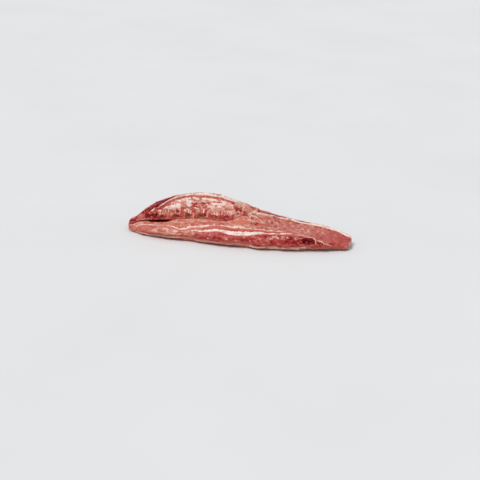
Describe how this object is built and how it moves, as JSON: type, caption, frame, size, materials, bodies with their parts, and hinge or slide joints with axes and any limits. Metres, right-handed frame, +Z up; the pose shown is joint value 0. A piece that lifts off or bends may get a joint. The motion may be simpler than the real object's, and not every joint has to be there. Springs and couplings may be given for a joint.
{
  "type": "raw pork spare rib rack",
  "caption": "Raw rack of pork spare ribs folded over along its length, sawn rib ends facing front, smooth flap beneath and thin flank end to the right.",
  "frame": {"origin": "under the middle of the rack, on the surface that it lies on", "axes": "+X along the rack from the thick rib end to the thin flank end, -Y the way the sawn rib ends face, +Z up"},
  "size_m": [0.4451, 0.1631, 0.0848],
  "materials": {
    "raw_meat": "moist raw lean and fat, soft sheen",
    "rib_bone": "sawn bone end, damp"
  },
  "bodies": {
    "root": {"meat": "raw_meat", "rib_1": "rib_bone", "rib_2": "rib_bone", "rib_3": "rib_bone", "rib_4": "rib_bone", "rib_5": "rib_bone", "rib_6": "rib_bone", "rib_7": "rib_bone"}
  },
  "joints": []
}
